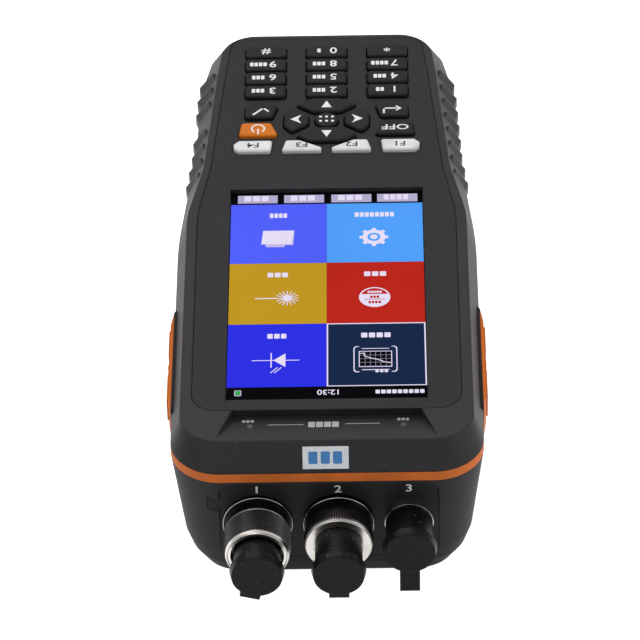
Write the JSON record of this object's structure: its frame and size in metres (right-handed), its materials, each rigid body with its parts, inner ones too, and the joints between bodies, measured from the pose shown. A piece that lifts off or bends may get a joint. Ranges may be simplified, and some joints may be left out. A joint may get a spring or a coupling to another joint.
{
  "type": "optical time domain reflectometer",
  "caption": "Handheld optical fibre tester with a colour display, rubber keypad, orange seam and side covers, and three capped optical ports at one end.",
  "frame": {"origin": "middle of the flat back, which is the bottom as it lies", "axes": "+X across to the visible light port's side, +Y along to the keypad end, +Z out of the face plate"},
  "size_m": [0.0904, 0.2212, 0.0462],
  "materials": {
    "dark_grey_plastic": "fine moulded texture, dark grey",
    "grey_plastic": "fine moulded texture, grey",
    "orange_rubber": "matte orange",
    "black_panel": "satin black",
    "black_rubber": "matte black",
    "key_black": "matte, printed legends",
    "key_grey": "matte light grey",
    "key_orange": "matte orange",
    "display_glass": "clear window",
    "display_panel": "dark panel",
    "circuit_board": "green board",
    "module_metal": "plain metal box",
    "battery_wrap": "blue sleeve",
    "anodised_black": "black, satin",
    "nickel": "nickel plated",
    "steel": "zinc plated",
    "clear_plastic": "translucent"
  },
  "bodies": {
    "housing": {"rear_case": "grey_plastic", "front_case": "dark_grey_plastic", "seam_band": "orange_rubber", "face_plate": "dark_grey_plastic", "display_window": "display_glass", "display_module": "display_panel", "keypad_sheet": "black_rubber", "keypad_board": "circuit_board", "main_board": "circuit_board", "optical_engine": "module_metal", "battery_pack": "battery_wrap", "buzzer": "black_panel", "battery_door": "grey_plastic", "port_panel": "black_panel", "otdr_base": "anodised_black", "opm_base": "anodised_black", "vfl_barrel": "nickel", "lamp_pipes": "clear_plastic", "usb_socket": "steel", "power_socket": "black_panel", "case_screws": "steel", "door_screws": "steel"},
    "test_port_collar": {"otdr_collar": "nickel"},
    "power_meter_adapter": {"opm_adapter": "nickel"},
    "test_port_cap": {"otdr_cap": "black_rubber"},
    "power_meter_cap": {"opm_cap": "black_rubber"},
    "light_port_cap": {"vfl_cap": "black_rubber"},
    "right_side_cover": {"right_cover": "orange_rubber"},
    "left_side_cover": {"left_cover": "orange_rubber"},
    "key_0_body": {"key_0": "key_black"},
    "key_1_body": {"key_1": "key_black"},
    "key_2_body": {"key_2": "key_black"},
    "key_3_body": {"key_3": "key_black"},
    "key_4_body": {"key_4": "key_black"},
    "key_5_body": {"key_5": "key_black"},
    "key_6_body": {"key_6": "key_black"},
    "key_7_body": {"key_7": "key_black"},
    "key_8_body": {"key_8": "key_black"},
    "key_9_body": {"key_9": "key_black"},
    "key_star_body": {"key_star": "key_black"},
    "key_hash_body": {"key_hash": "key_black"},
    "key_enter_body": {"key_enter": "key_black"},
    "key_escape_body": {"key_escape": "key_black"},
    "key_power_body": {"key_power": "key_orange"},
    "key_off_body": {"key_off": "key_black"},
    "key_up_body": {"key_up": "key_black"},
    "key_down_body": {"key_down": "key_black"},
    "key_left_body": {"key_left": "key_black"},
    "key_right_body": {"key_right": "key_black"},
    "key_centre_body": {"key_centre": "key_black"},
    "key_function_1_body": {"key_function_1": "key_grey"},
    "key_function_2_body": {"key_function_2": "key_grey"},
    "key_function_3_body": {"key_function_3": "key_grey"},
    "key_function_4_body": {"key_function_4": "key_grey"}
  },
  "joints": [
    {"name": "key_0_press", "type": "slide", "parent": "housing", "child": "key_0_body", "axis": [0, 0, -1], "range_m": [0, 0.001], "stiffness_N_per_m": 1200},
    {"name": "key_1_press", "type": "slide", "parent": "housing", "child": "key_1_body", "axis": [0, 0, -1], "range_m": [0, 0.001], "stiffness_N_per_m": 1200},
    {"name": "key_2_press", "type": "slide", "parent": "housing", "child": "key_2_body", "axis": [0, 0, -1], "range_m": [0, 0.001], "stiffness_N_per_m": 1200},
    {"name": "key_3_press", "type": "slide", "parent": "housing", "child": "key_3_body", "axis": [0, 0, -1], "range_m": [0, 0.001], "stiffness_N_per_m": 1200},
    {"name": "key_4_press", "type": "slide", "parent": "housing", "child": "key_4_body", "axis": [0, 0, -1], "range_m": [0, 0.001], "stiffness_N_per_m": 1200},
    {"name": "key_5_press", "type": "slide", "parent": "housing", "child": "key_5_body", "axis": [0, 0, -1], "range_m": [0, 0.001], "stiffness_N_per_m": 1200},
    {"name": "key_6_press", "type": "slide", "parent": "housing", "child": "key_6_body", "axis": [0, 0, -1], "range_m": [0, 0.001], "stiffness_N_per_m": 1200},
    {"name": "key_7_press", "type": "slide", "parent": "housing", "child": "key_7_body", "axis": [0, 0, -1], "range_m": [0, 0.001], "stiffness_N_per_m": 1200},
    {"name": "key_8_press", "type": "slide", "parent": "housing", "child": "key_8_body", "axis": [0, 0, -1], "range_m": [0, 0.001], "stiffness_N_per_m": 1200},
    {"name": "key_9_press", "type": "slide", "parent": "housing", "child": "key_9_body", "axis": [0, 0, -1], "range_m": [0, 0.001], "stiffness_N_per_m": 1200},
    {"name": "key_star_press", "type": "slide", "parent": "housing", "child": "key_star_body", "axis": [0, 0, -1], "range_m": [0, 0.001], "stiffness_N_per_m": 1200},
    {"name": "key_hash_press", "type": "slide", "parent": "housing", "child": "key_hash_body", "axis": [0, 0, -1], "range_m": [0, 0.001], "stiffness_N_per_m": 1200},
    {"name": "key_enter_press", "type": "slide", "parent": "housing", "child": "key_enter_body", "axis": [0, 0, -1], "range_m": [0, 0.001], "stiffness_N_per_m": 1200},
    {"name": "key_escape_press", "type": "slide", "parent": "housing", "child": "key_escape_body", "axis": [0, 0, -1], "range_m": [0, 0.001], "stiffness_N_per_m": 1200},
    {"name": "key_power_press", "type": "slide", "parent": "housing", "child": "key_power_body", "axis": [0, 0, -1], "range_m": [0, 0.001], "stiffness_N_per_m": 1200},
    {"name": "key_off_press", "type": "slide", "parent": "housing", "child": "key_off_body", "axis": [0, 0, -1], "range_m": [0, 0.001], "stiffness_N_per_m": 1200},
    {"name": "key_up_press", "type": "slide", "parent": "housing", "child": "key_up_body", "axis": [0, 0, -1], "range_m": [0, 0.001], "stiffness_N_per_m": 1200},
    {"name": "key_down_press", "type": "slide", "parent": "housing", "child": "key_down_body", "axis": [0, 0, -1], "range_m": [0, 0.001], "stiffness_N_per_m": 1200},
    {"name": "key_left_press", "type": "slide", "parent": "housing", "child": "key_left_body", "axis": [0, 0, -1], "range_m": [0, 0.001], "stiffness_N_per_m": 1200},
    {"name": "key_right_press", "type": "slide", "parent": "housing", "child": "key_right_body", "axis": [0, 0, -1], "range_m": [0, 0.001], "stiffness_N_per_m": 1200},
    {"name": "key_centre_press", "type": "slide", "parent": "housing", "child": "key_centre_body", "axis": [0, 0, -1], "range_m": [0, 0.001], "stiffness_N_per_m": 1200},
    {"name": "key_function_1_press", "type": "slide", "parent": "housing", "child": "key_function_1_body", "axis": [0, 0, -1], "range_m": [0, 0.001], "stiffness_N_per_m": 1200},
    {"name": "key_function_2_press", "type": "slide", "parent": "housing", "child": "key_function_2_body", "axis": [0, 0, -1], "range_m": [0, 0.001], "stiffness_N_per_m": 1200},
    {"name": "key_function_3_press", "type": "slide", "parent": "housing", "child": "key_function_3_body", "axis": [0, 0, -1], "range_m": [0, 0.001], "stiffness_N_per_m": 1200},
    {"name": "key_function_4_press", "type": "slide", "parent": "housing", "child": "key_function_4_body", "axis": [0, 0, -1], "range_m": [0, 0.001], "stiffness_N_per_m": 1200},
    {"name": "test_port_cap_pull", "type": "slide", "parent": "housing", "child": "test_port_cap", "axis": [0, -1, 0], "range_m": [0, 0.06]},
    {"name": "power_meter_cap_pull", "type": "slide", "parent": "power_meter_adapter", "child": "power_meter_cap", "axis": [0, -1, 0], "range_m": [0, 0.06]},
    {"name": "light_port_cap_pull", "type": "slide", "parent": "housing", "child": "light_port_cap", "axis": [0, -1, 0], "range_m": [0, 0.06]},
    {"name": "test_port_collar_turn", "type": "hinge", "parent": "housing", "child": "test_port_collar", "pos_m": [-0.0196, -0.1059, 0.0198], "axis": [0, -1, 0], "continuous": true},
    {"name": "power_meter_adapter_turn", "type": "hinge", "parent": "housing", "child": "power_meter_adapter", "pos_m": [0.0029, -0.1049, 0.0198], "axis": [0, -1, 0], "continuous": true},
    {"name": "right_cover_swing", "type": "hinge", "parent": "housing", "child": "right_side_cover", "pos_m": [0.0428, -0.0306, 0.0335], "axis": [0, 0, 1], "range_deg": [0, 100]},
    {"name": "left_cover_swing", "type": "hinge", "parent": "housing", "child": "left_side_cover", "pos_m": [-0.0428, -0.0306, 0.0335], "axis": [0, 0, -1], "range_deg": [0, 100]}
  ]
}
